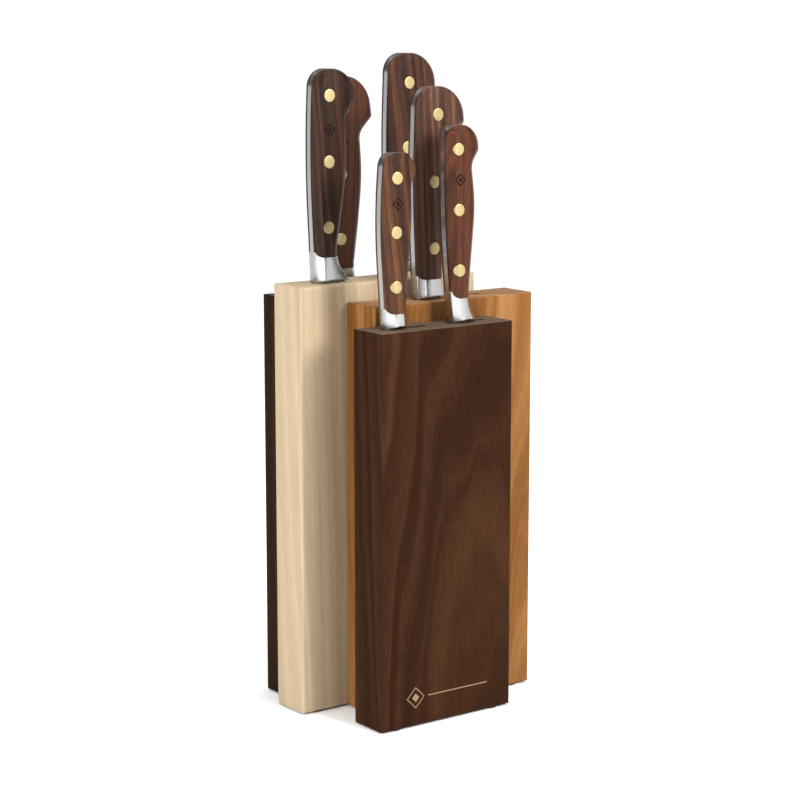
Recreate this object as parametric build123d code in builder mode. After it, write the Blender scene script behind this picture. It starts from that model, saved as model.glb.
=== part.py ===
from build123d import *
import os
from collections import namedtuple

# Knife block made of four upright slabs that stand one behind the other, with six forged knives.
# Frame: millimetres, +Z up, +Y towards the back, origin on the floor under the middle of the block.

os.makedirs("parts", exist_ok=True)

# Block construction: each slab is two boards with thin strips between them, which leave the slots open.
BOARD_THICKNESS = 12.8
SLOT_GAP = 3.4
SLAB_THICKNESS = 2 * BOARD_THICKNESS + SLOT_GAP
FOOT_STAND = 1.0
EDGE_ROUND = 1.6

# Feet and dowels.
FOOT_RADIUS = 5.0
FOOT_RECESS = 1.5
FOOT_INSET = 12.0
DOWEL_RADIUS = 4.0
DOWEL_LENGTH = 20.0
DOWEL_HEIGHTS = (25.0, 205.0)
DOWEL_INSET = 14.0

# Knives.
TANG_THICKNESS = 3.5
SCALE_THICKNESS = 6.0
SCALE_CHAMFER = 2.2
SCALE_CORNER = 4.0
CORNER_INSET = 1.0
HALF_HANDLE = TANG_THICKNESS / 2 + SCALE_THICKNESS
BLADE_THICKNESS = 2.5
EDGE_THICKNESS = 0.4
ARCH_RISE = 2.2
REST_GAP = 0.3
HEEL_DROP = 2.0
BLADE_ROOT = 5.0
SCALLOP_PITCH = 5.0
SCALLOP_RADIUS = 3.4
SCALLOP_OFFSET = 2.4
SCALLOP_START = 0.08
SCALLOP_SHARE = 0.75
SPINE_BEND = 0.6
TIP_LEAN = 0.25
GRIND_SHOULDER = 0.3
ROOT_INSET = 1.0

# Points of a cutting edge from near the tip to the heel, as shares of the blade's width and length.
CURVED_EDGE = [(0.62, 0.84), (0.9, 0.55), (1.0, 0.12)]
STRAIGHT_EDGE = [(1.0, 0.86)]

Slab = namedtuple("Slab", "name left right height slots slot_floor")

# Slabs from front to back. A slot is its left and right end; slot_floor is where its strips stop.
SLABS = [
    Slab("front", -59.4, 37.6, 240.0, [(-48.5, -17.3), (-0.6, 26.3)], 108.0),
    Slab("second", -43.9, 76.6, 251.2, [(-4.8, 45.5)], 44.0),
    Slab("third", -76.6, 54.0, 262.2, [(-59.0, -30.3)], 55.0),
    Slab("rear", -65.6, 62.0, 252.0, [(-29.8, 4.4), (17.1, 54.6)], 39.0),
]

Knife = namedtuple(
    "Knife",
    "name slab x lift wood_end back outline toe rivets rivet_radius blade_width blade_length tip_inset"
    " serrated",
)

# A knife's points are (across, up) from its own origin in the slot's plane, level with the bolster's foot.
# The knives stand edge to the right, so the handle's back is on the left. back is where the blade's back
# meets the bolster, toe is the bolster's front corner, and outline runs up the back of the handle, over the
# pommel to the beak, and down the grip. Each outline corner is (across, up, radius of its rounding).
BROAD_HANDLE = [
    (-1.9, 65.7, 645.0), (0.2, 127.0, 12.3), (35.0, 127.0, 19.9), (35.6, 104.8, 2.4),
    (24.2, 96.4, 9.5), (25.8, 71.4, 145.0), (22.6, 40.7, 240.0), (19.0, 10.0, 37.0),
]

KNIVES = [
    Knife(
        "paring_knife", 0, -49.2, REST_GAP, 9.2, 1.4,
        [
            (-3.0, 63.8, 350.0), (0.2, 102.4, 8.2), (21.6, 102.2, 11.4), (22.2, 90.6, 2.4),
            (18.8, 83.0, 9.5), (19.4, 61.8, 185.0), (16.6, 33.0, 275.0), (14.8, 8.0, 46.0),
        ],
        16.0, [(6.3, 88.0), (5.7, 56.7), (5.8, 25.0)], 3.6, 22.0, 90.0, 2.0, False,
    ),
    Knife(
        "utility_knife", 0, -1.2, REST_GAP, 14.8, 1.8,
        [
            (-4.9, 75.3, 645.0), (-3.4, 116.9, 9.0), (19.6, 116.6, 13.3), (20.4, 101.6, 2.4),
            (15.2, 93.5, 9.5), (18.2, 69.5, 100.0), (15.4, 38.8, 275.0), (13.0, 12.9, 20.9),
        ],
        19.0, [(2.8, 102.8), (3.4, 67.3), (4.3, 31.5)], 3.6, 24.0, 120.0, 3.0, False,
    ),
    Knife(
        "chefs_knife", 1, -4.8, REST_GAP, 12.0, 1.3, BROAD_HANDLE,
        22.0, [(13.1, 110.5), (10.4, 70.7), (10.7, 30.8)], 3.75, 46.0, 200.0, 5.0, False,
    ),
    Knife(
        "carving_knife", 2, -57.8, REST_GAP, 15.4, 0.4,
        [
            (-3.2, 75.3, 735.0), (-0.9, 126.7, 10.9), (28.0, 126.5, 17.1), (28.9, 108.7, 2.4),
            (21.6, 97.8, 9.5), (22.9, 69.5, 130.0), (18.0, 36.9, 240.0), (14.0, 13.8, 20.9),
        ],
        24.4, [(7.9, 111.1), (7.4, 72.1), (6.9, 33.2)], 3.75, 25.5, 200.0, 6.0, False,
    ),
    Knife(
        "boning_knife", 3, -28.6, REST_GAP, 14.0, 0.4,
        [
            (-1.8, 69.5, 735.0), (0.0, 131.3, 11.4), (29.0, 131.2, 19.9), (32.6, 106.4, 2.4),
            (23.2, 96.4, 9.5), (25.4, 71.4, 145.0), (22.2, 40.7, 240.0), (18.4, 11.9, 22.8),
        ],
        24.0, [(9.0, 111.8), (7.2, 71.9), (6.8, 32.2)], 3.75, 30.0, 160.0, 4.0, False,
    ),
    Knife(
        "bread_knife", 3, 17.6, 17.8, 12.0, 1.3, BROAD_HANDLE,
        22.0, [(12.6, 108.9), (11.2, 69.0), (11.0, 29.2)], 3.75, 34.0, 230.0, 16.0, True,
    ),
]


def save(name, part):
    part.label = name
    export_step(part, f"parts/{name}.step")


def slab_front(index):
    """The Y of a slab's front face."""
    return (index - len(SLABS) / 2) * SLAB_THICKNESS


def slot_plane(index):
    """The Y of the middle of a slab's slots."""
    return slab_front(index) + SLAB_THICKNESS / 2


def side_plane(y):
    """A plane seen from the front, local x to the right and local y up."""
    return Plane((0, y, 0), x_dir=(1, 0, 0), z_dir=(0, -1, 0))


def seam_dowels(seam):
    """Centres of the dowels across the joint between slab number seam and the one behind it."""
    y = slab_front(seam + 1)
    left = max(SLABS[seam].left, SLABS[seam + 1].left) + DOWEL_INSET
    right = min(SLABS[seam].right, SLABS[seam + 1].right) - DOWEL_INSET
    return [(x, y, z) for x in (left, right) for z in DOWEL_HEIGHTS]


def foot_centres():
    """Feet under the outer boards, two under the front slab, two under the rear and one at each overhang."""
    front_y = slab_front(0) + BOARD_THICKNESS / 2
    rear_y = slab_front(3) + SLAB_THICKNESS - BOARD_THICKNESS / 2
    second_y = slab_front(1) + BOARD_THICKNESS / 2
    third_y = slab_front(2) + BOARD_THICKNESS / 2
    return [
        (SLABS[0].left + FOOT_INSET, front_y, 0),
        (SLABS[0].right - FOOT_INSET, front_y, 0),
        (SLABS[1].right - FOOT_INSET, second_y, 0),
        (SLABS[2].left + FOOT_INSET, third_y, 0),
        (SLABS[3].left + FOOT_INSET, rear_y, 0),
        (SLABS[3].right - FOOT_INSET, rear_y, 0),
    ]


def board(slab, index, front):
    """One face board, its outer edges rounded, with blind holes for the dowels and recesses for the feet."""
    y_near = slab_front(index)
    y = y_near if front else y_near + SLAB_THICKNESS - BOARD_THICKNESS
    outer_y = y if front else y + BOARD_THICKNESS
    seam = index - 1 if front else index
    with BuildPart() as piece:
        with BuildSketch(Plane((0, y, 0), x_dir=(1, 0, 0), z_dir=(0, 1, 0))) as face:
            with Locations(((slab.left + slab.right) / 2, -(slab.height + FOOT_STAND) / 2)):
                Rectangle(slab.right - slab.left, slab.height - FOOT_STAND)
        extrude(amount=BOARD_THICKNESS)
        outer = piece.faces().sort_by(Axis.Y)[0 if front else -1]
        fillet(outer.edges(), EDGE_ROUND)
        if 0 <= seam < len(SLABS) - 1:
            with Locations(*[Location(c, (90, 0, 0)) for c in seam_dowels(seam)]):
                Cylinder(DOWEL_RADIUS, DOWEL_LENGTH, mode=Mode.SUBTRACT)
        for centre in foot_centres():
            if y < centre[1] < y + BOARD_THICKNESS:
                with Locations((centre[0], centre[1], FOOT_STAND + FOOT_RECESS / 2)):
                    Cylinder(FOOT_RADIUS, FOOT_RECESS, mode=Mode.SUBTRACT)
    return piece.part


def strip(index, left, right, bottom, top):
    """One strip of the slot layer between a slab's two boards."""
    with BuildPart() as piece:
        with Locations(((left + right) / 2, slot_plane(index), (bottom + top) / 2)):
            Box(right - left, SLOT_GAP, top - bottom)
    return piece.part


def make_slab(slab, index):
    save(f"{slab.name}_slab_front_board", board(slab, index, True))
    save(f"{slab.name}_slab_back_board", board(slab, index, False))
    save(
        f"{slab.name}_slab_slot_floor",
        strip(index, slab.left, slab.right, FOOT_STAND, slab.slot_floor),
    )
    edges = [slab.left] + [x for slot in slab.slots for x in slot] + [slab.right]
    names = ["left", "right"] if len(slab.slots) == 1 else ["left", "middle", "right"]
    for number, word in enumerate(names):
        low = edges[2 * number]
        high = edges[2 * number + 1]
        save(f"{slab.name}_slab_strip_{word}", strip(index, low, high, slab.slot_floor, slab.height))


def make_dowels():
    for seam, word in enumerate(["front", "middle", "rear"]):
        with BuildPart() as dowels:
            with Locations(*[Location(c, (90, 0, 0)) for c in seam_dowels(seam)]):
                Cylinder(DOWEL_RADIUS, DOWEL_LENGTH)
        save(f"dowels_{word}_joint", dowels.part)


def make_feet():
    with BuildPart() as feet:
        with Locations(*foot_centres()):
            Cylinder(
                FOOT_RADIUS, FOOT_STAND + FOOT_RECESS,
                align=(Align.CENTER, Align.CENTER, Align.MIN),
            )
    save("rubber_feet", feet.part)


def knife_plane(knife, offset=0.0):
    """A knife's own plane: local x across the handle, local y up, and offset towards the viewer."""
    base = SLABS[knife.slab].height + knife.lift
    place = (knife.x, slot_plane(knife.slab) - offset, base)
    return Plane(place, x_dir=(1, 0, 0), z_dir=(0, -1, 0))


def grip_body(knife):
    """Bolster and grip as one thick body with its long edges bevelled, to be shared out to the pieces."""
    foot = (knife.back, 0)
    toe = (knife.toe, 0)
    corners = [(across, up) for across, up, radius in knife.outline]
    roundings = [radius for across, up, radius in knife.outline]
    with BuildPart() as body:
        with BuildSketch(knife_plane(knife)):
            with BuildLine():
                FilletPolyline([foot, *corners, toe], radius=roundings)
                ThreePointArc(toe, ((knife.back + knife.toe) / 2, ARCH_RISE), foot)
            make_face()
        extrude(amount=HALF_HANDLE, both=True)
        sides = body.faces().sort_by(Axis.Y)
        rims = sides[0].edges() + sides[-1].edges()
        arches = rims.filter_by(GeomType.CIRCLE).sort_by(Axis.Z)[:2]
        chamfer(rims - arches, SCALE_CHAMFER)
    return body.part


def wood_space(knife, side):
    """The space of one scale, side 1 in front of the tang and -1 behind, rounded at the bolster's back."""
    corner = knife.back - CORNER_INSET
    above = knife.wood_end + SCALE_CORNER
    inside = corner + SCALE_CORNER
    far = 160.0
    with BuildPart() as space:
        with BuildSketch(knife_plane(knife, side * TANG_THICKNESS / 2)):
            with BuildLine():
                Polyline((-far, far), (-far, above), (corner, above))
                RadiusArc((corner, above), (inside, knife.wood_end), SCALE_CORNER)
                Polyline((inside, knife.wood_end), (far, knife.wood_end), (far, far), (-far, far))
            make_face()
        extrude(amount=side * 2 * SCALE_THICKNESS)
    return space.part


def make_scale(knife, side):
    """One handle scale: side is 1 for the front one, which faces the viewer, and -1 for the back one."""
    with BuildPart() as scale:
        add(grip_body(knife))
        add(wood_space(knife, side), mode=Mode.INTERSECT)
        with Locations(*rivet_places(knife)):
            Cylinder(knife.rivet_radius, 2 * HALF_HANDLE, mode=Mode.SUBTRACT)
    return scale.part


def rivet_places(knife):
    return [knife_plane(knife).location * Location((across, up, 0)) for across, up in knife.rivets]


def make_rivets(knife):
    """Three rivets, flush with the outer faces of both scales."""
    with BuildPart() as rivets:
        with Locations(*rivet_places(knife)):
            Cylinder(knife.rivet_radius, 2 * HALF_HANDLE)
    return rivets.part


def make_blade(knife):
    """The blade, ground thin from its back to its edge, with scallops along a bread knife's edge."""
    plane = knife_plane(knife)
    back = knife.back
    edge = back + knife.blade_width
    length = knife.blade_length
    inner = knife.toe - ROOT_INSET
    tip = (back + knife.tip_inset, -length)
    bend = (back, -SPINE_BEND * length)
    shares = STRAIGHT_EDGE if knife.serrated else CURVED_EDGE
    belly = [(back + across * knife.blade_width, -down * length) for across, down in shares]
    with BuildPart() as blade:
        with BuildSketch(plane):
            with BuildLine():
                Polyline((inner, BLADE_ROOT), (back, BLADE_ROOT), bend)
                Spline(bend, tip, tangents=[(0.0, -1.0), (TIP_LEAN, -1.0)])
                Spline(tip, *belly, tangents=[Vector(*belly[0]) - Vector(*tip), (0.0, 1.0)])
                Polyline(belly[-1], (edge, -HEEL_DROP), (inner, -HEEL_DROP), (inner, BLADE_ROOT))
            make_face()
        extrude(amount=BLADE_THICKNESS / 2, both=True)
        add(grind(knife), mode=Mode.INTERSECT)
        if knife.serrated:
            count = int(SCALLOP_SHARE * length / SCALLOP_PITCH)
            first = -SCALLOP_START * length
            spots = [(edge + SCALLOP_OFFSET, first - n * SCALLOP_PITCH, 0) for n in range(count)]
            with Locations(*[plane.location * Location(spot) for spot in spots]):
                Cylinder(SCALLOP_RADIUS, 2 * BLADE_THICKNESS, mode=Mode.SUBTRACT)
    return blade.part


def grind(knife):
    """The wedge section of a blade, full thickness near the back and thin at the edge, as a long prism."""
    plane = knife_plane(knife)
    half_back = BLADE_THICKNESS / 2
    half_edge = EDGE_THICKNESS / 2
    back = knife.back - ROOT_INSET
    shoulder = knife.back + GRIND_SHOULDER * knife.blade_width
    edge = knife.back + knife.blade_width
    section = Plane(plane.origin, x_dir=(1, 0, 0), z_dir=(0, 0, 1))
    with BuildPart() as prism:
        with BuildSketch(section.offset(-knife.blade_length - 1)):
            with BuildLine():
                Polyline(
                    (back, -half_back), (shoulder, -half_back), (edge, -half_edge),
                    (edge, half_edge), (shoulder, half_back), (back, half_back),
                    close=True,
                )
            make_face()
        extrude(amount=knife.blade_length + 2 * BLADE_ROOT)
    return prism.part


def make_forging(knife):
    """Blade, bolster and full tang, forged as one piece, with its rivet holes."""
    with BuildPart() as forging:
        add(grip_body(knife))
        add(wood_space(knife, 1), mode=Mode.SUBTRACT)
        add(wood_space(knife, -1), mode=Mode.SUBTRACT)
        with Locations(*rivet_places(knife)):
            Cylinder(knife.rivet_radius, 2 * HALF_HANDLE, mode=Mode.SUBTRACT)
        add(make_blade(knife))
    return forging.part


def make_knife(knife):
    save(f"{knife.name}_blade", make_forging(knife))
    save(f"{knife.name}_front_scale", make_scale(knife, 1))
    save(f"{knife.name}_back_scale", make_scale(knife, -1))
    save(f"{knife.name}_rivets", make_rivets(knife))


for number, slab in enumerate(SLABS):
    make_slab(slab, number)
make_dowels()
make_feet()
for knife in KNIVES:
    make_knife(knife)
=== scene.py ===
import math
from collections import namedtuple

import bmesh
import bpy
import numpy as np
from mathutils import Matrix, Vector, geometry


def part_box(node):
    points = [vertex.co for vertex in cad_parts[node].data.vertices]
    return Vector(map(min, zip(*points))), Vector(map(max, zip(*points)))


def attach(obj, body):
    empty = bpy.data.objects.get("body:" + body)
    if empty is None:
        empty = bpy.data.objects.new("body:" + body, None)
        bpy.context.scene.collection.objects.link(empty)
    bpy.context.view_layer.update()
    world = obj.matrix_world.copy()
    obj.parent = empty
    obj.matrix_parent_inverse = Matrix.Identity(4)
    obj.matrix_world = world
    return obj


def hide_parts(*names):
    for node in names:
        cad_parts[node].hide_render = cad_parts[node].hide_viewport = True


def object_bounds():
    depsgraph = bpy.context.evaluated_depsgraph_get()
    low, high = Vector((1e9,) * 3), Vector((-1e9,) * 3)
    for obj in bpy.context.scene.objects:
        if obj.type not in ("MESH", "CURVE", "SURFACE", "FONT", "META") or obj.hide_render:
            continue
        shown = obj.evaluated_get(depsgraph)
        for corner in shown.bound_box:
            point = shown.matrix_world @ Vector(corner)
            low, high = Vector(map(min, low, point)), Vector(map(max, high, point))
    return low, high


# Looks of a knife block: four slabs of different woods, one behind the other, and six forged knives.
# Blender works in metres; the knife outlines and wood grain below are written in millimetres.
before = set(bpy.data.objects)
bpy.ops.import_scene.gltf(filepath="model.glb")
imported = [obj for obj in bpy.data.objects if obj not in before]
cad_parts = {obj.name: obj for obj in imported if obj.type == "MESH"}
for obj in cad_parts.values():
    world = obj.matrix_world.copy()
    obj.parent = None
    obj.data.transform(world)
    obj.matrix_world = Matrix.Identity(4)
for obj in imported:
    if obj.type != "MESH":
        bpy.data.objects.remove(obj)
cad_low, cad_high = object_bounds()
MM = 0.001

# Studio. The camera's place is in metres. The dome gives the brightness at each height, as the sine of the
# elevation. A light is (name, azimuth, elevation, distance, width, height, power).
CAMERA_PLACE = (-0.7911, -1.0676, 0.4261)
CAMERA_AZIMUTH = -36.408
CAMERA_LOOKS_DOWN = 10.192
CAMERA_LENS = 98.91
SENSOR_WIDTH = 36
FLOOR_SIZE = 160.0
CEILING = 1.95
DOME = [(0.0, 1.05), (0.05, 1.05), (0.09, 0.16), (0.55, 0.18), (0.8, CEILING)]
LIGHTS = [
    ("key_light", 12, 27, 1.7, 0.55, 0.55, 37),
    ("side_light", -88, 18, 1.7, 0.8, 0.8, 20),
    ("edge_light", -52, 0, 1.6, 0.18, 1.2, 4.5),
]

# Block.
SLAB_NAMES = ("front", "second", "third", "rear")
EDGE_ROUND = 1.6 * MM
EDGE_SEGMENTS = 5

# Handle section, as half thicknesses from the middle of the tang and distances in from the outline.
HALF_TANG = 1.75
HALF_RIM = 3.5
HALF_SHOULDER = 7.3
HALF_HANDLE = 7.75
BEVEL_ACROSS = 4.0
CROWN_REACH = 11.0
SHOULDER_BLEND = 0.06
EDGE_SOFTNESS = 0.25
EDGE_ROUND_OFF = 0.2
SCALE_CORNER = 4.0
CORNER_INSET = 1.0
JOIN_OVERRUN = 8.0
ARCH_RISE = 2.2
RIVET_GAP = 0.28
RINGS = (0.12, 0.35, 0.8, 1.6, 2.6, 3.5, 3.9, 4.05, 4.3, 5.0, 6.2)
OUTLINE_STEP = 1.2
FILL_STEP = 2.6
OUTLINE_CLEAR = 0.1
JOIN_CLEAR = 0.25
HOLE_CLEAR = 0.35
HOLE_SIDES = 30
RIVET_SIDES = 36

# Blade section.
BLADE_THICKNESS = 2.5
EDGE_THICKNESS = 0.35
BLADE_ROOT = 5.0
ROOT_INSET = 1.0
HEEL_DROP = 2.0
HEEL_STEPS = (0.0, 0.15, 0.5, 1.2)
TIP_REACH = 6.0
SPINE_INSET = 0.2
SPINE_BEND = 0.6
GRIND_SHOULDER = 0.3
EDGE_BEVEL = 0.9
DISTAL_TAPER = 0.4
SCALLOPED_PART = (0.06, 0.8)
SCALLOP_PITCH = 5.0
SCALLOP_RADIUS = 3.4
SCALLOP_OFFSET = 2.4

# The plain diamonds, burnt into four handles and inlaid low on the front slab with a rule beside it: half
# widths outside and inside, and how far a mark stands proud and reaches in.
MARK_BANDS = ((3.9, 2.9), (1.3, 0.2))
MARK_PROUD = 0.04
INLAY_BANDS = ((6.6, 5.9), (2.6, 0.4))
INLAY_PROUD = 0.03
MARK_DEPTH = 0.2
INLAY_LEVEL = 17.5
INLAY_INSET = 72.5
RULE_START = 9.5
RULE_INSET = 18.0
RULE_HALF = 0.32

Knife = namedtuple(
    "Knife",
    "name back toe wood_end outline rivets rivet_radius blade_width blade_length tip_inset serrated mark",
)

# A knife's points are (across, up) from its origin, which lies in the slot's plane, level with the
# bolster's foot. Outline corners are (across, up, radius of the rounding), from the back over the pommel
# to the grip.
BROAD_HANDLE = [
    (-1.9, 65.7, 645.0), (0.2, 127.0, 12.3), (35.0, 127.0, 19.9), (35.6, 104.8, 2.4),
    (24.2, 96.4, 9.5), (25.8, 71.4, 145.0), (22.6, 40.7, 240.0), (19.0, 10.0, 37.0),
]
KNIVES = [
    Knife(
        "paring_knife", 1.4, 16.0, 9.2,
        [
            (-3.0, 63.8, 350.0), (0.2, 102.4, 8.2), (21.6, 102.2, 11.4), (22.2, 90.6, 2.4),
            (18.8, 83.0, 9.5), (19.4, 61.8, 185.0), (16.6, 33.0, 275.0), (14.8, 8.0, 46.0),
        ],
        [(6.3, 88.0), (5.7, 56.7), (5.8, 25.0)], 3.6, 22.0, 90.0, 2.0, False, (6.5, 73.0),
    ),
    Knife(
        "utility_knife", 1.8, 19.0, 14.8,
        [
            (-4.9, 75.3, 645.0), (-3.4, 116.9, 9.0), (19.6, 116.6, 13.3), (20.4, 101.6, 2.4),
            (15.2, 93.5, 9.5), (18.2, 69.5, 100.0), (15.4, 38.8, 275.0), (13.0, 12.9, 20.9),
        ],
        [(2.8, 102.8), (3.4, 67.3), (4.3, 31.5)], 3.6, 24.0, 120.0, 3.0, False, (3.9, 84.9),
    ),
    Knife(
        "chefs_knife", 1.3, 22.0, 12.0, BROAD_HANDLE,
        [(13.1, 110.5), (10.4, 70.7), (10.7, 30.8)], 3.75, 46.0, 200.0, 5.0, False, None,
    ),
    Knife(
        "carving_knife", 0.4, 24.4, 15.4,
        [
            (-3.2, 75.3, 735.0), (-0.9, 126.7, 10.9), (28.0, 126.5, 17.1), (28.9, 108.7, 2.4),
            (21.6, 97.8, 9.5), (22.9, 69.5, 130.0), (18.0, 36.9, 240.0), (14.0, 13.8, 20.9),
        ],
        [(7.9, 111.1), (7.4, 72.1), (6.9, 33.2)], 3.75, 25.5, 200.0, 6.0, False, (7.7, 91.0),
    ),
    Knife(
        "boning_knife", 0.4, 24.0, 14.0,
        [
            (-1.8, 69.5, 735.0), (0.0, 131.3, 11.4), (29.0, 131.2, 19.9), (32.6, 106.4, 2.4),
            (23.2, 96.4, 9.5), (25.4, 71.4, 145.0), (22.2, 40.7, 240.0), (18.4, 11.9, 22.8),
        ],
        [(9.0, 111.8), (7.2, 71.9), (6.8, 32.2)], 3.75, 30.0, 160.0, 4.0, False, (8.4, 91.6),
    ),
    Knife(
        "bread_knife", 1.3, 22.0, 12.0, BROAD_HANDLE,
        [(12.6, 108.9), (11.2, 69.0), (11.0, 29.2)], 3.75, 34.0, 230.0, 16.0, True, None,
    ),
]


# ---------------------------------------------------------------- camera, light and floor

def make_camera():
    camera = bpy.data.objects.new("camera", bpy.data.cameras.new("camera"))
    camera.location = CAMERA_PLACE
    camera.rotation_euler = (math.radians(90 - CAMERA_LOOKS_DOWN), 0, math.radians(CAMERA_AZIMUTH))
    camera.data.lens = CAMERA_LENS
    camera.data.sensor_width = SENSOR_WIDTH
    camera.data.clip_end = 2 * FLOOR_SIZE
    bpy.context.scene.collection.objects.link(camera)
    bpy.context.scene.camera = camera


def area_light(name, azimuth, elevation, distance, width, height, power):
    """A soft light that faces the middle of the object. Azimuth 0 is in front, 90 on the right."""
    middle = (cad_low + cad_high) / 2
    a = math.radians(azimuth)
    e = math.radians(elevation)
    away = Vector((math.sin(a) * math.cos(e), -math.cos(a) * math.cos(e), math.sin(e)))
    light = bpy.data.objects.new(name, bpy.data.lights.new(name, "AREA"))
    light.location = middle + away * distance
    light.rotation_euler = away.to_track_quat("Z", "Y").to_euler()
    light.data.shape = "RECTANGLE"
    light.data.size = width
    light.data.size_y = height
    light.data.energy = power
    bpy.context.scene.collection.objects.link(light)


def make_world():
    """A studio dome: a bright ceiling, dimmer walls, and a white line where wall meets floor."""
    world = bpy.data.worlds.new("studio")
    world.use_nodes = True
    tree = world.node_tree
    background = tree.nodes["Background"]
    background.inputs["Strength"].default_value = CEILING
    direction = tree.nodes.new("ShaderNodeTexCoord")
    height = tree.nodes.new("ShaderNodeSeparateXYZ")
    dome = tree.nodes.new("ShaderNodeValToRGB")
    tree.links.new(direction.outputs["Generated"], height.inputs[0])
    tree.links.new(height.outputs["Z"], dome.inputs["Fac"])
    tree.links.new(dome.outputs["Color"], background.inputs["Color"])
    elements = dome.color_ramp.elements
    for place, grey in DOME[2:]:
        elements.new(place)
    for element, (place, grey) in zip(elements, DOME):
        element.position = place
        element.color = (grey / CEILING, grey / CEILING, grey / CEILING, 1)
    bpy.context.scene.world = world


def make_studio():
    make_world()
    bpy.context.scene.view_settings.view_transform = "Standard"
    floor_mesh = bpy.data.meshes.new("floor")
    half = FLOOR_SIZE / 2
    floor_mesh.from_pydata(
        [(-half, -half, 0), (half, -half, 0), (half, half, 0), (-half, half, 0)], [], [(0, 1, 2, 3)]
    )
    floor = bpy.data.objects.new("floor", floor_mesh)
    bpy.context.scene.collection.objects.link(floor)
    floor.data.materials.append(floor_material())
    for light in LIGHTS:
        area_light(*light)


# ---------------------------------------------------------------- materials

class Shader:
    """A Principled material whose nodes are added one by one."""

    def __init__(self, name, **fixed):
        self.material = bpy.data.materials.new(name)
        self.material.use_nodes = True
        self.tree = self.material.node_tree
        self.principled = self.tree.nodes["Principled BSDF"]
        for socket, value in fixed.items():
            self.principled.inputs[socket.replace("_", " ")].default_value = value

    def add(self, kind, inputs=(), output=0, **settings):
        """Adds a node, sets its settings, fills its input sockets, and gives back one output socket."""
        node = self.tree.nodes.new("ShaderNode" + kind)
        for setting, value in settings.items():
            setattr(node, setting, value)
        for socket, value in dict(inputs).items():
            if isinstance(value, bpy.types.NodeSocket):
                self.tree.links.new(value, node.inputs[socket])
            else:
                node.inputs[socket].default_value = value
        return node.outputs[output]

    def millimetres(self, scale=(1, 1, 1), turn=(0, 0, 0), shift=(0, 0, 0)):
        """Object coordinates in millimetres, stretched by scale."""
        coordinates = self.add("TexCoord", output="Object")
        whole = self.add(
            "Mapping",
            {"Vector": coordinates, "Rotation": turn, "Location": shift, "Scale": (1000, 1000, 1000)},
        )
        return self.add("Mapping", {"Vector": whole, "Scale": scale})

    def noise(self, vector, scale, detail=3.0, roughness=0.5, output="Fac", **inputs):
        return self.add(
            "TexNoise",
            {"Vector": vector, "Scale": scale, "Detail": detail, "Roughness": roughness, **inputs},
            output=output,
        )

    def math(self, operation, a, b=0.0, clamp=False):
        return self.add("Math", {0: a, 1: b}, operation=operation, use_clamp=clamp)

    def ramp(self, factor, stops, interpolation="LINEAR"):
        """A colour ramp of (place, colour) stops, where a colour may be one number for grey."""
        node = self.tree.nodes.new("ShaderNodeValToRGB")
        self.tree.links.new(factor, node.inputs["Fac"])
        node.color_ramp.interpolation = interpolation
        elements = node.color_ramp.elements
        while len(elements) < len(stops):
            elements.new(0.5)
        for element, (place, colour) in zip(elements, stops):
            element.position = place
            element.color = (colour, colour, colour, 1) if isinstance(colour, float) else (*colour, 1)
        return node.outputs["Color"]

    def mix(self, factor, a, b, blend="MIX"):
        colour = self.tree.nodes.new("ShaderNodeMix")
        colour.data_type = "RGBA"
        colour.blend_type = blend
        for socket, value in ((0, factor), (6, a), (7, b)):
            if isinstance(value, bpy.types.NodeSocket):
                self.tree.links.new(value, colour.inputs[socket])
            else:
                colour.inputs[socket].default_value = value if socket == 0 else (*value, 1)
        return colour.outputs[2]

    def finish(self, colour=None, roughness=None, height=None, depth=0.0):
        """Links colour, roughness and a bump of that depth in metres to the shader."""
        links = self.tree.links
        if colour is not None:
            links.new(colour, self.principled.inputs["Base Color"])
        if roughness is not None:
            links.new(roughness, self.principled.inputs["Roughness"])
        if height is not None:
            bump = self.tree.nodes.new("ShaderNodeBump")
            bump.inputs["Distance"].default_value = depth
            links.new(height, bump.inputs["Height"])
            links.new(bump.outputs["Normal"], self.principled.inputs["Normal"])
        return self.material


def floor_material():
    """Matt white paper with a faint mottle."""
    shader = Shader("floor_paper")
    mottle = shader.noise(shader.millimetres(), 0.004, 2)
    return shader.finish(
        shader.ramp(mottle, [(0.3, 0.90), (0.7, 0.93)]), shader.ramp(mottle, [(0.3, 0.85), (0.7, 0.9)])
    )


# Painted sheen: the pale colour mixed into every upward wood face, and how much of it.
TOP_SHEEN_COLOUR = (0.62, 0.48, 0.33)
TOP_SHEEN_SHARE = 0.13
Wood = namedtuple("Wood", "dark middle light streak pith tilt ring wave fibre pore gloss shine")


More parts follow.
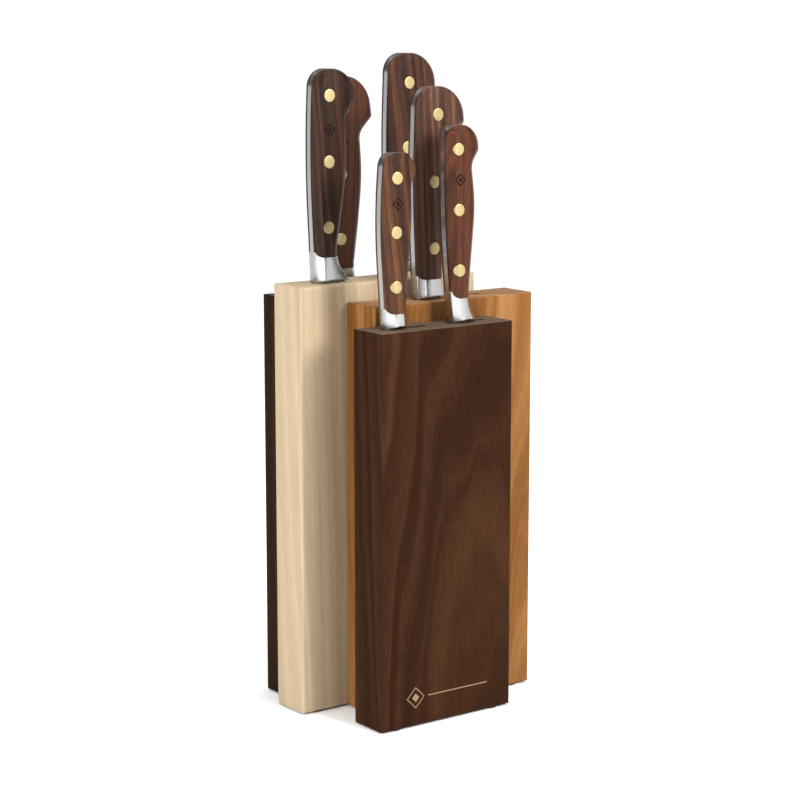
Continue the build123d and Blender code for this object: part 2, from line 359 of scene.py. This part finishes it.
def wood_material(name, wood, seed):
    """Wood cut from a log whose pith and tilt are given, with growth rings, fibres and pores, and a painted
    sheen on its upward faces.
    """
    shader = Shader(name, Specular_IOR_Level=wood.shine)
    shift = (-wood.pith[0], -wood.pith[1], seed * 37.0)
    place = shader.millimetres(turn=wood.tilt, shift=shift)
    stretched = shader.add("Mapping", {"Vector": place, "Scale": (1, 1, 0.16)})
    # The log isn't straight: its rings wander by a few millimetres.
    wander = shader.noise(stretched, 0.022, 2, output="Color")
    centred = shader.add("VectorMath", {0: wander, 1: (0.5, 0.5, 0.5)}, operation="SUBTRACT")
    reach = shader.add("VectorMath", {0: centred, 3: wood.wave}, operation="SCALE")
    bent = shader.add("VectorMath", {0: place, 1: reach}, operation="ADD")
    flat = shader.add("VectorMath", {0: bent, 1: (1, 1, 0)}, operation="MULTIPLY")
    radius = shader.add("VectorMath", {0: flat}, operation="LENGTH", output="Value")
    rings = shader.math("DIVIDE", radius, wood.ring)
    broad = shader.add(
        "TexNoise", {"W": rings, "Scale": 0.45, "Detail": 2.0, "Roughness": 0.6}, noise_dimensions="1D"
    )
    narrow = shader.add(
        "TexNoise", {"W": rings, "Scale": 1.7, "Detail": 3.0, "Roughness": 0.6}, noise_dimensions="1D"
    )
    # A late wood line closes each ring.
    phase = shader.math("FRACT", rings)
    late = shader.ramp(phase, [(0.0, 0.55), (0.12, 0.0), (0.6, 0.1), (0.93, 1.0), (1.0, 0.55)])
    strong = shader.add(
        "TexNoise", {"W": rings, "Scale": 0.8, "Detail": 1.0, "Roughness": 0.5}, noise_dimensions="1D"
    )
    late = shader.math("MULTIPLY", late, shader.ramp(strong, [(0.42, 0.15), (0.66, 1.0)]))
    # Fibres and pores run up the log, and show as dots in the end grain.
    fibre = shader.noise(shader.add("Mapping", {"Vector": bent, "Scale": (1, 1, 0.022)}), 0.9, 4, 0.65)
    fine = shader.noise(shader.add("Mapping", {"Vector": bent, "Scale": (1, 1, 0.05)}), 3.1, 2, 0.6)
    pores = shader.ramp(fine, [(0.60, 0.0), (0.70, 1.0)])
    patches = shader.noise(stretched, 0.03, 3)
    band = shader.math("ADD", shader.math("MULTIPLY", broad, 0.62), shader.math("MULTIPLY", narrow, 0.38))
    colour = shader.ramp(band, [(0.36, wood.dark), (0.5, wood.middle), (0.64, wood.light)])
    colour = shader.mix(shader.math("MULTIPLY", late, wood.streak[1]), colour, wood.streak[0], "MULTIPLY")
    fibre_tone = shader.ramp(fibre, [(0.3, 1.0 - wood.fibre), (0.7, 1.0)])
    colour = shader.mix(1.0, colour, fibre_tone, "MULTIPLY")
    colour = shader.mix(
        0.5, colour, shader.ramp(patches, [(0.3, (0.86, 0.80, 0.80)), (0.7, (1.0, 1.0, 0.96))]), "MULTIPLY"
    )
    pore_share = shader.math("MULTIPLY", pores, wood.pore)
    colour = shader.mix(pore_share, colour, (0.35, 0.28, 0.24), "MULTIPLY")
    # Painted sheen: faces that look upwards are mixed toward a pale colour, which stands in for the sheen
    # the tops catch.
    normal = shader.add("NewGeometry", output="Normal")
    upward = shader.add("SeparateXYZ", {0: normal}, output="Z")
    painted_sheen_share = shader.math("MULTIPLY", shader.ramp(upward, [(0.75, 0.0), (0.95, 1.0)]), TOP_SHEEN_SHARE)
    colour = shader.mix(painted_sheen_share, colour, TOP_SHEEN_COLOUR)
    gloss = shader.ramp(fibre, [(0.3, wood.gloss + 0.1), (0.7, wood.gloss)])
    gloss = shader.mix(pore_share, gloss, (0.85, 0.85, 0.85))
    height = shader.math("SUBTRACT", shader.math("MULTIPLY", fibre, 0.6), pores)
    return shader.finish(colour, gloss, height, 0.00006)


# Colours are linear. streak is the late wood's colour and share, pith is where the log's middle stands in
# plan, in millimetres, tilt leans the log, ring is a growth ring's width, and wave is how far rings wander.
WALNUT = Wood(
    dark=(0.0215, 0.0070, 0.0024), middle=(0.0345, 0.0122, 0.0042), light=(0.050, 0.0190, 0.0068),
    streak=((0.70, 0.60, 0.60), 0.35), pith=(30.0, 60.0), tilt=(0.10, 0.05, 0.0),
    ring=7.5, wave=26.0, fibre=0.36, pore=0.6, gloss=0.55, shine=0.04,
)
CHERRY = Wood(
    dark=(0.175, 0.068, 0.014), middle=(0.252, 0.111, 0.030), light=(0.325, 0.162, 0.056),
    streak=((0.70, 0.55, 0.40), 0.6), pith=(95.0, 110.0), tilt=(0.03, -0.05, 0.0),
    ring=5.2, wave=16.0, fibre=0.28, pore=0.45, gloss=0.50, shine=0.08,
)
MAPLE = Wood(
    dark=(0.375, 0.278, 0.172), middle=(0.425, 0.332, 0.218), light=(0.460, 0.370, 0.254),
    streak=((0.86, 0.78, 0.68), 0.3), pith=(-160.0, 40.0), tilt=(0.02, 0.03, 0.0),
    ring=6.5, wave=14.0, fibre=0.10, pore=0.15, gloss=0.50, shine=0.1,
)
WENGE = Wood(
    dark=(0.0095, 0.0033, 0.0008), middle=(0.0165, 0.0060, 0.0015), light=(0.0255, 0.0098, 0.0026),
    streak=((0.6, 0.55, 0.5), 0.5), pith=(40.0, 180.0), tilt=(0.03, 0.04, 0.0),
    ring=3.6, wave=10.0, fibre=0.30, pore=0.6, gloss=0.55, shine=0.04,
)
BEECH = Wood(
    dark=(0.46, 0.27, 0.14), middle=(0.54, 0.33, 0.18), light=(0.60, 0.38, 0.22),
    streak=((0.8, 0.7, 0.6), 0.3), pith=(20.0, 90.0), tilt=(0.0, 0.0, 0.0),
    ring=4.0, wave=6.0, fibre=0.15, pore=0.3, gloss=0.5, shine=0.2,
)

# Each handle is cut from another piece, so its tone, figure and lean differ.
HANDLE_WOODS = {
    "paring_knife": ((0.022, 0.0066, 0.0024), (0.068, 0.0235, 0.0085), (0.130, 0.051, 0.0205), 0.10),
    "utility_knife": ((0.018, 0.0040, 0.0014), (0.098, 0.0275, 0.0098), (0.180, 0.060, 0.0225), -0.12),
    "chefs_knife": ((0.026, 0.0098, 0.0052), (0.078, 0.0320, 0.0178), (0.150, 0.074, 0.0440), 0.04),
    "carving_knife": ((0.0085, 0.0027, 0.0012), (0.030, 0.0112, 0.0052), (0.056, 0.0230, 0.0120), 0.06),
    "boning_knife": ((0.026, 0.0082, 0.0036), (0.078, 0.0262, 0.0122), (0.130, 0.048, 0.0235), -0.05),
    "bread_knife": ((0.018, 0.0056, 0.0024), (0.060, 0.0212, 0.0100), (0.112, 0.044, 0.0215), 0.08),
}


def handle_wood_material(knife, seed):
    dark, middle, light, lean = HANDLE_WOODS[knife.name]
    low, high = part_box(f"{knife.name}_front_scale")
    wood = Wood(
        dark=dark, middle=middle, light=light, streak=((0.35, 0.25, 0.22), 0.75),
        pith=(low.x / MM - 30.0, low.y / MM + 25.0), tilt=(lean, lean * 0.5, 0.0),
        ring=4.2, wave=11.0, fibre=0.50, pore=0.6, gloss=0.34, shine=0.15,
    )
    return wood_material(f"{knife.name}_handle_wood", wood, seed)


def steel_material(name, base, roughness):
    """Polished steel with fine lengthways grinding lines and faint smudges."""
    shader = Shader(name, Metallic=1.0)
    lines = shader.noise(shader.millimetres(scale=(1, 1, 0.03)), 5.0, 3, 0.7)
    smudges = shader.noise(shader.millimetres(), 0.12, 3)
    both = shader.math("ADD", shader.math("MULTIPLY", lines, 0.5), shader.math("MULTIPLY", smudges, 0.5))
    colour = shader.ramp(both, [(0.3, tuple(c * 0.9 for c in base)), (0.7, base)])
    gloss = shader.ramp(both, [(0.3, roughness * 0.75), (0.7, roughness * 1.35)])
    return shader.finish(colour, gloss, lines, 0.000004)


def brass_material():
    shader = Shader("rivet_brass", Metallic=1.0)
    turned = shader.noise(shader.millimetres(), 2.2, 4, 0.7)
    colour = shader.ramp(turned, [(0.3, (0.37, 0.285, 0.135)), (0.7, (0.45, 0.355, 0.18))])
    return shader.finish(colour, shader.ramp(turned, [(0.3, 0.38), (0.7, 0.52)]), turned, 0.000008)


def inlay_material(name, dark, light, metallic, shine):
    shader = Shader(name, Metallic=metallic, Specular_IOR_Level=shine)
    mottle = shader.noise(shader.millimetres(), 1.4, 4, 0.6)
    colour = shader.ramp(mottle, [(0.3, dark), (0.7, light)])
    return shader.finish(colour, shader.ramp(mottle, [(0.3, 0.45), (0.7, 0.6)]), mottle, 0.00001)


def rubber_material():
    shader = Shader("foot_rubber")
    grain = shader.noise(shader.millimetres(), 3.0, 4, 0.7)
    colour = shader.ramp(grain, [(0.3, 0.012), (0.7, 0.022)])
    return shader.finish(colour, shader.ramp(grain, [(0.3, 0.7), (0.7, 0.85)]), grain, 0.00003)


# ---------------------------------------------------------------- mesh tools

def put(name, mesh, material, body, replaced=(), sharp=38):
    """Shades a finished mesh, gives it its material and body, and hides the CAD nodes it stands for."""
    for polygon in mesh.polygons:
        polygon.use_smooth = True
    mesh.set_sharp_from_angle(angle=math.radians(sharp))
    piece = bpy.data.objects.new(name, mesh)
    bpy.context.scene.collection.objects.link(piece)
    mesh.materials.append(material)
    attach(piece, body)
    if replaced:
        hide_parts(*replaced)
    return piece


def finished(bm, name):
    """A mesh from a bmesh, its faces turned outwards."""
    bmesh.ops.recalc_face_normals(bm, faces=bm.faces)
    mesh = bpy.data.meshes.new(name)
    bm.to_mesh(mesh)
    bm.free()
    return mesh


def unit(vector):
    return vector / np.linalg.norm(vector)


def evened(line, step):
    """The same polyline with more points, none further apart than step."""
    made = [line[0]]
    for a, b in zip(line, line[1:]):
        count = max(1, math.ceil(np.linalg.norm(b - a) / step))
        made += [a + (b - a) * k / count for k in range(1, count + 1)]
    return np.array(made)


def rounded(corners, step):
    """An open polyline through (across, up, radius) corners, each rounded by its tangent arc."""
    spots = [np.array(corner[:2], float) for corner in corners]
    line = [spots[0]]
    for before, here, after, corner in zip(spots, spots[1:], spots[2:], corners[1:]):
        back, ahead = unit(before - here), unit(after - here)
        half = math.acos(float(back @ ahead)) / 2
        centre = here + unit(back + ahead) * corner[2] / math.sin(half)
        start = here + back * corner[2] / math.tan(half) - centre
        end = here + ahead * corner[2] / math.tan(half) - centre
        turn = math.pi - 2 * half
        count = max(2, math.ceil(corner[2] * turn / step), math.ceil(math.degrees(turn) / 9))
        for k in range(count + 1):
            along = turn * k / count
            line.append(centre + (start * math.sin(turn - along) + end * math.sin(along)) / math.sin(turn))
    line.append(spots[-1])
    return evened(np.array(line), step)


def distances(points, line):
    """How far each point is from a polyline."""
    start = line[:-1]
    along = line[1:] - start
    offset = points[:, None] - start[None]
    share = np.clip((offset * along).sum(-1) / (along * along).sum(-1), 0, 1)
    return np.linalg.norm(offset - share[..., None] * along, axis=-1).min(1)


def inside(points, loop):
    """Which points are inside a closed loop."""
    x, y = points[:, 0][:, None], points[:, 1][:, None]
    ax, ay = loop[:, 0], loop[:, 1]
    bx, by = np.roll(ax, -1), np.roll(ay, -1)
    level = np.where(by == ay, 1e-12, by - ay)
    crosses = ((ay > y) != (by > y)) & (x < ax + (y - ay) * (bx - ax) / level)
    return crosses.sum(1) % 2 == 1


def circle(centre, radius, count):
    angles = np.arange(count) * 2 * math.pi / count
    return np.array(centre) + radius * np.stack([np.cos(angles), np.sin(angles)], 1)


def triangulate(lines, loops, extra):
    """Delaunay triangles over open lines, closed loops and loose points: (points, triangles)."""
    points, edges = [], []
    for line, closed in [(line, False) for line in lines] + [(loop, True) for loop in loops]:
        first = len(points)
        points += [Vector(p) for p in line]
        edges += [(first + k, first + k + 1) for k in range(len(line) - 1)]
        if closed:
            edges.append((first + len(line) - 1, first))
    points += [Vector(p) for p in extra]
    made = geometry.delaunay_2d_cdt(points, edges, [], 0, 0.001)
    return np.array([tuple(p) for p in made[0]]), [tuple(t) for t in made[2]]


def relief(points, triangles, part_of, thickness, place):
    """A closed mesh over flat triangles. part_of names each triangle's part, or None for outside, and
    thickness[part] gives its points' (front, back) depths. Walls close every border between parts."""
    centres = points[np.array(triangles)].mean(1)
    parts = part_of(centres)
    depth = {part: thickness[part](points) for part in thickness}
    bm = bmesh.new()
    made = {}

    def vertex(index, part, side):
        key = (index, part, side)
        if key not in made:
            made[key] = bm.verts.new(place(*points[index], depth[part][side][index]))
        return made[key]

    borders = {}
    for triangle, part in zip(triangles, parts):
        if part is None:
            continue
        for side in (0, 1):
            bm.faces.new([vertex(index, part, side) for index in triangle])
        for a, b in zip(triangle, triangle[1:] + triangle[:1]):
            borders.setdefault(frozenset((a, b)), []).append((a, b, part))
    for uses in borders.values():
        a, b, part = uses[0]
        if len(uses) == 1:
            corners = [vertex(a, part, 0), vertex(b, part, 0), vertex(b, part, 1), vertex(a, part, 1)]
            bm.faces.new(corners)
        elif uses[1][2] != part:
            other = uses[1][2]
            for side in (0, 1):
                corners = [vertex(a, part, side), vertex(b, part, side)]
                bm.faces.new(corners + [vertex(b, other, side), vertex(a, other, side)])
    return bm


# ---------------------------------------------------------------- block

def make_board(node, material):
    """A face board with its outer edges rounded soft."""
    low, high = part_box(node)
    front = node.endswith("front_board")
    outer = low.y if front else high.y
    bm = bmesh.new()
    corners = [
        bm.verts.new((x, y, z)) for z in (low.z, high.z) for y in (low.y, high.y) for x in (low.x, high.x)
    ]
    for loop in ((0, 1, 3, 2), (4, 5, 7, 6), (0, 1, 5, 4), (2, 3, 7, 6), (0, 2, 6, 4), (1, 3, 7, 5)):
        bm.faces.new([corners[k] for k in loop])
    bmesh.ops.recalc_face_normals(bm, faces=bm.faces)
    rims = [edge for edge in bm.edges if all(abs(v.co.y - outer) < 1e-6 for v in edge.verts)]
    bmesh.ops.bevel(
        bm, geom=rims, offset=EDGE_ROUND, segments=EDGE_SEGMENTS, profile=0.5, affect="EDGES"
    )
    piece = put(f"{node}_wood", finished(bm, node), material, "block", [node])
    weighted = piece.modifiers.new("weighted_normals", "WEIGHTED_NORMAL")
    weighted.keep_sharp = True


def make_block():
    woods = (("dark_walnut", WALNUT), ("cherry", CHERRY), ("maple", MAPLE), ("wenge", WENGE))
    for number, (slab, (slot, wood)) in enumerate(zip(SLAB_NAMES, woods)):
        material = wood_material(f"{slot}_wood", wood, number + 1)
        for node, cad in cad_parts.items():
            if node in (f"{slab}_slab_front_board", f"{slab}_slab_back_board"):
                make_board(node, material)
            elif node.startswith(f"{slab}_slab"):
                paint(cad, material)
    beech = wood_material("beech_wood", BEECH, 9)
    rubber = rubber_material()
    for node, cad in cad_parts.items():
        if node.startswith("dowels"):
            paint(cad, beech)
        if node == "rubber_feet":
            paint(cad, rubber)


def paint(cad, material):
    cad.data.materials.clear()
    cad.data.materials.append(material)


# ---------------------------------------------------------------- knives

def half_thickness(distance):
    """Half the handle's thickness, that far in from its outline: a bevel, then a gentle crown."""
    slope = (HALF_SHOULDER - HALF_RIM) / BEVEL_ACROSS
    bevel = HALF_RIM + slope * distance - EDGE_SOFTNESS * np.exp(-distance / EDGE_ROUND_OFF)
    share = np.clip((distance - BEVEL_ACROSS) / CROWN_REACH, -1, 1)
    crown = HALF_HANDLE - (HALF_HANDLE - HALF_SHOULDER) * (1 - share) ** 2
    return (bevel + crown - np.sqrt((bevel - crown) ** 2 + SHOULDER_BLEND ** 2)) / 2


class Handle:
    """The flat layout of one handle, which its scales, forging and rivets share."""

    def __init__(self, knife):
        self.knife = knife
        self.rim = rounded([(knife.back, 0, 0), *knife.outline, (knife.toe, 0, 0)], OUTLINE_STEP)
        shares = np.linspace(0, 1, 16)[1:-1]
        arch_x = knife.toe + (knife.back - knife.toe) * shares
        arch = np.stack([arch_x, 4 * ARCH_RISE * shares * (1 - shares)], 1)
        self.loop = np.concatenate([self.rim, arch])
        low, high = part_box(f"{knife.name}_front_scale")
        blade_low, blade_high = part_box(f"{knife.name}_blade")
        self.origin = Vector((
            low.x - self.rim[:, 0].min() * MM,
            (blade_low.y + blade_high.y) / 2,
            high.z - self.rim[:, 1].max() * MM,
        ))
        self.points, self.triangles = triangulate(
            [self.join_line()], [self.loop, *self.holes()], self.fill_points()
        )

    def place(self, across, up, depth):
        return self.origin + Vector((across, -depth, up)) * MM

    def join_line(self):
        """The line where wood meets bolster, with the wood's back corner rounded."""
        inner = self.knife.back - CORNER_INSET + SCALE_CORNER
        above = self.knife.wood_end + SCALE_CORNER
        angles = np.linspace(math.pi, 1.5 * math.pi, 12)
        arc = np.stack([inner + SCALE_CORNER * np.cos(angles), above + SCALE_CORNER * np.sin(angles)], 1)
        run_in = np.array([[inner - SCALE_CORNER - JOIN_OVERRUN, above]])
        run_out = np.array([[self.rim[:, 0].max() + JOIN_OVERRUN, self.knife.wood_end]])
        return evened(np.concatenate([run_in, arc, run_out]), OUTLINE_STEP)

    def is_wood(self, points):
        inner = self.knife.back - CORNER_INSET + SCALE_CORNER
        above = self.knife.wood_end + SCALE_CORNER
        in_corner = np.hypot(points[:, 0] - inner, points[:, 1] - above) < SCALE_CORNER
        return np.where(
            points[:, 0] > inner, points[:, 1] > self.knife.wood_end, (points[:, 1] > above) | in_corner
        )

    def holes(self):
        radius = self.knife.rivet_radius + RIVET_GAP
        return [circle(spot, radius, HOLE_SIDES) for spot in self.knife.rivets]

    def fill_points(self):
        """Points in rings along the outline, close together where the section bends, and a grid between."""
        step = np.roll(self.rim, -1, 0) - np.roll(self.rim, 1, 0)
        step[0] = self.rim[1] - self.rim[0]
        step[-1] = self.rim[-1] - self.rim[-2]
        inward = np.stack([step[:, 1], -step[:, 0]], 1) / np.linalg.norm(step, axis=1)[:, None]
        chosen = []
        for ring in RINGS:
            points = self.rim + inward * ring
            chosen.append(points[distances(points, self.rim) > ring - 0.01])
        low, high = self.rim.min(0), self.rim.max(0)
        grid = np.array([
            (x, y)
            for y in np.arange(low[1], high[1], FILL_STEP)
            for x in np.arange(low[0], high[0], FILL_STEP)
        ])
        chosen.append(grid[distances(grid, self.rim) > RINGS[-1] + FILL_STEP / 2])
        points = np.concatenate(chosen)
        points = points[inside(points, self.loop) & (distances(points, self.loop) > OUTLINE_CLEAR)]
        points = points[distances(points, self.join_line()) > JOIN_CLEAR]
        for spot in self.knife.rivets:
            clear = self.knife.rivet_radius + RIVET_GAP + HOLE_CLEAR
            points = points[np.hypot(*(points - np.array(spot)).T) > clear]
        return points

    def surface(self, points):
        return half_thickness(distances(points, self.rim))

    def scale_mesh(self, side):
        """One wooden scale, 1 in front of the tang and -1 behind it."""
        holes = np.array(self.knife.rivets)
        radius = self.knife.rivet_radius + RIVET_GAP - 0.02

        def part_of(centres):
            gap = np.min([np.hypot(*(centres - hole).T) for hole in holes], axis=0)
            wood = inside(centres, self.loop) & self.is_wood(centres) & (gap > radius)
            return ["wood" if w else None for w in wood]

        depths = {"wood": lambda p: (side * self.surface(p), np.full(len(p), side * HALF_TANG))}
        return relief(self.points, self.triangles, part_of, depths, self.place)

    def forging_mesh(self):
        """Full tang and bolster in one, with the blade that grows out of it."""

        def part_of(centres):
            within, wood = inside(centres, self.loop), self.is_wood(centres)
            return [("tang" if w else "bolster") if i else None for i, w in zip(within, wood)]

        depths = {
            "tang": lambda p: (np.full(len(p), HALF_TANG), np.full(len(p), -HALF_TANG)),
            "bolster": lambda p: (self.surface(p), -self.surface(p)),
        }
        bm = relief(self.points, self.triangles, part_of, depths, self.place)
        add_blade(bm, self)
        return bm

    def rivets_mesh(self):
        """Three pins, ground flush with the handle's crowned faces, their rims just broken."""
        radius = self.knife.rivet_radius
        count = RIVET_SIDES
        bm = bmesh.new()
        for spot in self.knife.rivets:
            rows = []
            rims = [(0.0, 0.03), (0.5, 0.03), (0.9, 0.02), (0.97, 0.0), (1.0, -0.06)]
            for side in (1, -1):
                for share, rise in rims if side == 1 else rims[::-1]:
                    ring = circle(spot, max(radius * share, 0.01), count)
                    depth = side * (self.surface(ring) + rise)
                    rows.append([bm.verts.new(self.place(*p, d)) for p, d in zip(ring, depth)])
            for low, high in zip(rows, rows[1:]):
                for k in range(count):
                    bm.faces.new((low[k], low[(k + 1) % count], high[(k + 1) % count], high[k]))
            bm.faces.new(rows[0])
            bm.faces.new(rows[-1])
        return bm

    def mark_mesh(self):
        """A plain burnt diamond on the front scale."""
        bm = bmesh.new()

        def place(x, y, lift):
            return self.place(x, y, float(self.surface(np.array([[x, y]]))[0]) + lift)

        for reach, hole in MARK_BANDS:
            diamond(bm, self.knife.mark, reach, hole, place, MARK_PROUD)
        return bm


def diamond(bm, centre, reach, hole, place, height):
    """A diamond outline as a thin closed band: reach is half its width outside, and hole inside."""
    count = 4
    per_side = 6
    rings = []
    for size, lift in ((reach, -MARK_DEPTH), (reach, height), (hole, height), (hole, -MARK_DEPTH)):
        corners = circle(centre, size, count)
        line = evened(np.concatenate([corners, corners[:1]]), size * math.sqrt(2) / per_side + 1e-6)[:-1]
        rings.append([bm.verts.new(place(x, y, lift)) for x, y in line])
    for low, high in zip(rings, rings[1:] + rings[:1]):
        for k in range(len(low)):
            after = (k + 1) % len(low)
            bm.faces.new((low[k], low[after], high[after], high[k]))


def add_blade(bm, handle):
    """A wedge-ground blade with a distal taper, a rounded heel and an edge bevel. The bread knife's edge is
    scalloped."""
    knife = handle.knife
    length = knife.blade_length
    spacing = 0.5 if knife.serrated else 2.0
    heel = [BLADE_ROOT, 0.0, *(-HEEL_DROP - step for step in HEEL_STEPS)]
    body = np.arange(-HEEL_DROP - 2.0, -length + TIP_REACH, -spacing)
    end = -length + TIP_REACH * (1 - np.linspace(0, 1, 16) ** 0.6)
    rows = []
    for up in np.concatenate([heel, body, end]):
        rows.append([
            (bm.verts.new(handle.place(across, up, half)), bm.verts.new(handle.place(across, up, -half)))
            for across, half in blade_section(knife, up)
        ])
    for upper, lower in zip(rows, rows[1:]):
        for side in (0, 1):
            for k in range(len(upper) - 1):
                bm.faces.new((upper[k][side], upper[k + 1][side], lower[k + 1][side], lower[k][side]))
        for k in (0, -1):
            bm.faces.new((upper[k][0], upper[k][1], lower[k][1], lower[k][0]))
    for row in (rows[0], rows[-1]):
        for k in range(len(row) - 1):
            bm.faces.new((row[k][0], row[k + 1][0], row[k + 1][1], row[k][1]))


def blade_section(knife, up):
    """(across, half thickness) of a blade from its spine to its edge, at that height below the bolster."""
    length, width = knife.blade_length, knife.blade_width
    down = min(1.0, max(0.0, -up / length))
    drop = max(0.0, (down - SPINE_BEND) / (1 - SPINE_BEND)) ** 2
    spine = knife.back + SPINE_INSET + (knife.tip_inset - SPINE_INSET) * drop
    level, power = (0.74, 3.0) if knife.serrated else (0.12, 3.4)
    run = max(0.0, (down - level) / (1 - level)) ** power
    edge = knife.back + width - (width - knife.tip_inset - 0.3) * run
    root = knife.toe - ROOT_INSET
    if up > -HEEL_DROP - HEEL_STEPS[-1]:
        rise = min(1.0, max(0.0, (-HEEL_DROP - up) / HEEL_STEPS[-1]))
        edge = root + (edge - root) * math.sqrt(1 - (1 - rise) ** 2)
    if knife.serrated and SCALLOPED_PART[0] < down < SCALLOPED_PART[1]:
        beside = -up % SCALLOP_PITCH - SCALLOP_PITCH / 2
        edge -= max(0.0, math.sqrt(SCALLOP_RADIUS ** 2 - beside ** 2) - SCALLOP_OFFSET)
    taper = 1 - DISTAL_TAPER * down
    half_spine = BLADE_THICKNESS / 2 * taper
    half_edge = EDGE_THICKNESS / 2
    across = edge - spine
    bevel = min(EDGE_BEVEL, across * 0.2)
    section = []
    for share in (0.0, 0.06, GRIND_SHOULDER, 0.5, 0.75, 1.0):
        place = spine + share * (across - bevel)
        thin = max(0.0, (share - GRIND_SHOULDER) / (1 - GRIND_SHOULDER))
        round_off = 0.12 if share == 0.0 else 0.0
        section.append((place, (half_spine - round_off) * (1 - thin) + half_edge * thin))
    section.append((edge, 0.03))
    return section


def make_knives():
    steel = steel_material("forged_steel", (0.44, 0.44, 0.437), 0.22)
    brass = brass_material()
    burnt = inlay_material("burnt_mark", (0.004, 0.0025, 0.002), (0.009, 0.005, 0.004), 0.0, 0.04)
    for number, knife in enumerate(KNIVES):
        handle = Handle(knife)
        wood = handle_wood_material(knife, number + 11)
        name = knife.name
        for side, word in ((1, "front"), (-1, "back")):
            node = f"{name}_{word}_scale"
            mesh = finished(handle.scale_mesh(side), node)
            put(f"{node}_wood", mesh, wood, name, [node])
        mesh = finished(handle.forging_mesh(), name)
        put(f"{name}_forging", mesh, steel, name, [f"{name}_blade"])
        mesh = finished(handle.rivets_mesh(), name)
        put(f"{name}_brass_rivets", mesh, brass, name, [f"{name}_rivets"])
        if knife.mark:
            put(f"{name}_mark", finished(handle.mark_mesh(), name), burnt, name)


def make_front_mark():
    """A plain gold diamond and rule, inlaid low on the front slab."""
    low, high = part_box("front_slab_front_board")
    gold = inlay_material("gold_inlay", (0.21, 0.140, 0.072), (0.30, 0.21, 0.115), 0.35, 0.2)

    def place(x, y, lift):
        return Vector((x * MM, low.y - lift * MM, y * MM))

    middle = high.x / MM - INLAY_INSET
    left = middle + RULE_START
    right = high.x / MM - RULE_INSET
    level = low.z / MM + INLAY_LEVEL
    bm = bmesh.new()
    for reach, hole in INLAY_BANDS:
        diamond(bm, (middle, level), reach, hole, place, INLAY_PROUD)
    below, above = level - RULE_HALF, level + RULE_HALF
    outline = [(left, below), (right, below), (right, above), (left, above)]
    top = [bm.verts.new(place(x, y, INLAY_PROUD)) for x, y in outline]
    under = [bm.verts.new(place(x, y, -MARK_DEPTH)) for x, y in outline]
    bm.faces.new(top)
    bm.faces.new(under)
    for k in range(len(top)):
        after = (k + 1) % len(top)
        bm.faces.new((top[k], top[after], under[after], under[k]))
    put("front_slab_gold_inlay", finished(bm, "inlay"), gold, "block")


make_camera()
make_studio()
make_block()
make_knives()
make_front_mark()
